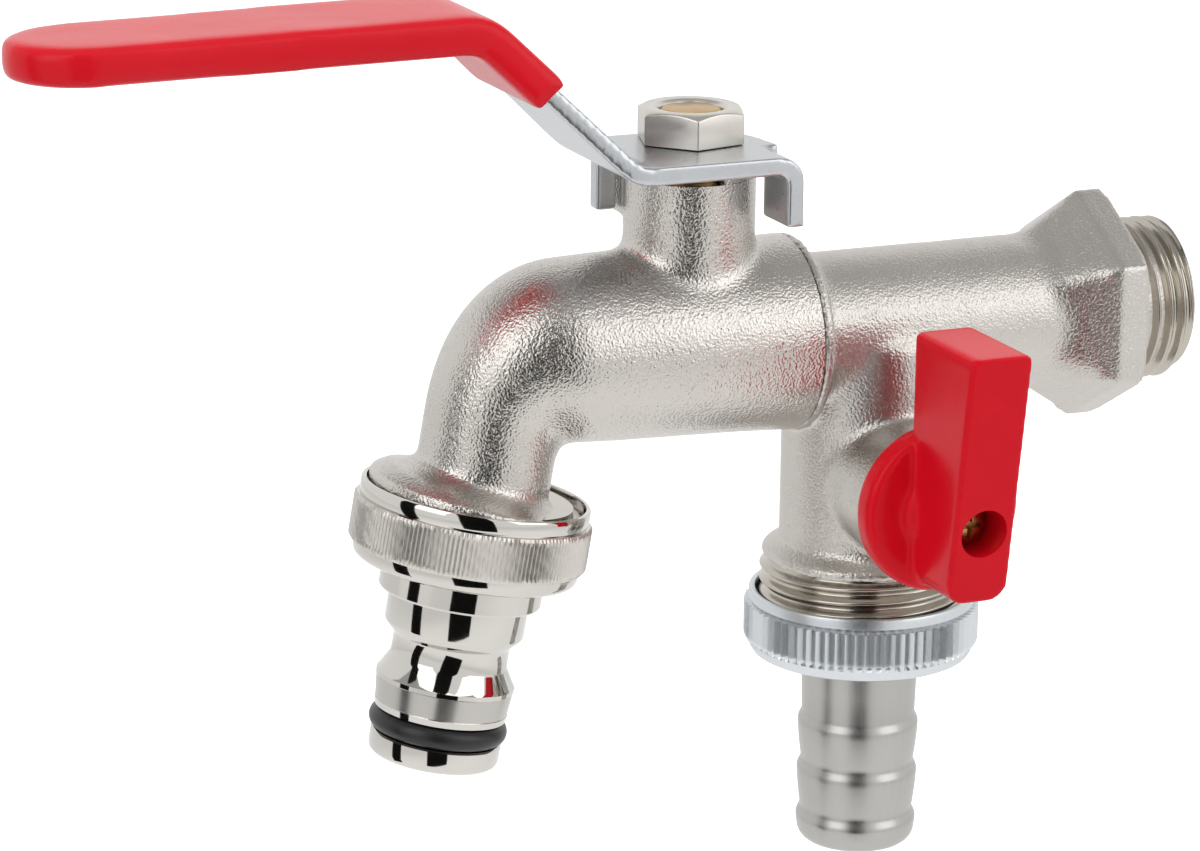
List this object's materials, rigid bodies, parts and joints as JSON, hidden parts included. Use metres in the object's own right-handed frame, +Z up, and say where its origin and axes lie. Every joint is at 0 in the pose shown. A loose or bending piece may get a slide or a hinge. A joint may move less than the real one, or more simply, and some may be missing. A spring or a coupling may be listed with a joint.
{
  "type": "double-outlet garden tap",
  "caption": "Wall tap with a lever ball valve feeding a quick-connector nose, and a branch ball valve feeding a hose tail through a knurled union nut.",
  "frame": {"origin": "centre of the inlet's open end, on the axis of its thread", "axes": "+X out of the inlet into the wall, +Z up along the lever's stem, -Y towards the branch's handle"},
  "size_m": [0.1546, 0.0507, 0.1148],
  "materials": {
    "satin_nickel": "shot-blasted brass casting, satin nickel plate",
    "polished_nickel": "turned brass, polished nickel plate",
    "brushed_nickel": "turned brass, satin nickel plate",
    "nickel_nut": "satin nickel plate",
    "zinc_plate": "bright bluish plate, knurled",
    "zinc_steel": "zinc plated pressed steel",
    "raw_brass": "bare turned brass",
    "yellow_screw": "yellow passivated",
    "red_vinyl": "glossy dipped vinyl",
    "red_paint": "glossy red powder coat on die casting",
    "black_rubber": "smooth",
    "white_plastic": "matt"
  },
  "bodies": {
    "tap_body": {"spout_body": "satin_nickel", "inlet_body": "satin_nickel", "body_seal": "black_rubber", "main_seat_inlet": "white_plastic", "main_seat_outlet": "white_plastic", "stem_packing": "white_plastic", "gland_nut": "raw_brass", "branch_seat_upper": "white_plastic", "branch_seat_lower": "white_plastic", "branch_retainer": "raw_brass"},
    "lever": {"main_lever": "zinc_steel", "lever_grip": "red_vinyl", "lever_nut": "nickel_nut", "main_stem": "raw_brass", "main_ball": "polished_nickel", "stem_o_ring": "black_rubber"},
    "handle": {"branch_handle": "red_paint", "handle_screw": "yellow_screw", "branch_stem": "raw_brass", "branch_ball": "polished_nickel", "branch_o_ring_inner": "black_rubber", "branch_o_ring_outer": "black_rubber"},
    "tail": {"hose_tail": "brushed_nickel", "hose_gasket": "black_rubber"},
    "nut": {"union_nut": "zinc_plate"},
    "nose_washer": {"connector_gasket": "black_rubber"},
    "nose": {"tap_connector": "polished_nickel", "connector_o_ring": "black_rubber"}
  },
  "joints": [
    {"name": "lever_turn", "type": "hinge", "parent": "tap_body", "child": "lever", "pos_m": [-0.0675, 0, 0], "axis": [0, 0, 1], "range_deg": [0, 90]},
    {"name": "handle_turn", "type": "hinge", "parent": "tap_body", "child": "handle", "pos_m": [-0.0422, 0, -0.0187], "axis": [0, 1, 0], "range_deg": [0, 90]},
    {"name": "tail_travel", "type": "slide", "parent": "tap_body", "child": "tail", "axis": [0, 0, -1], "range_m": [0, 0.00272]},
    {"name": "nut_turn", "type": "hinge", "parent": "tail", "child": "nut", "pos_m": [-0.0422, 0, -0.042], "axis": [0, 0, -1], "range_deg": [0, 540]},
    {"name": "nose_travel", "type": "slide", "parent": "tap_body", "child": "nose_washer", "axis": [-0.1702, 0, -0.9854], "range_m": [0, 0.00453]},
    {"name": "nose_turn", "type": "hinge", "parent": "nose_washer", "child": "nose", "pos_m": [-0.0927, 0, 0], "axis": [-0.1702, 0, -0.9854], "range_deg": [0, 900]}
  ],
  "couplings": [
    {"joint": "nut_turn", "follows": "tail_travel", "rad_per_m": 3463.7},
    {"joint": "nose_turn", "follows": "nose_travel", "rad_per_m": 3463.7}
  ]
}
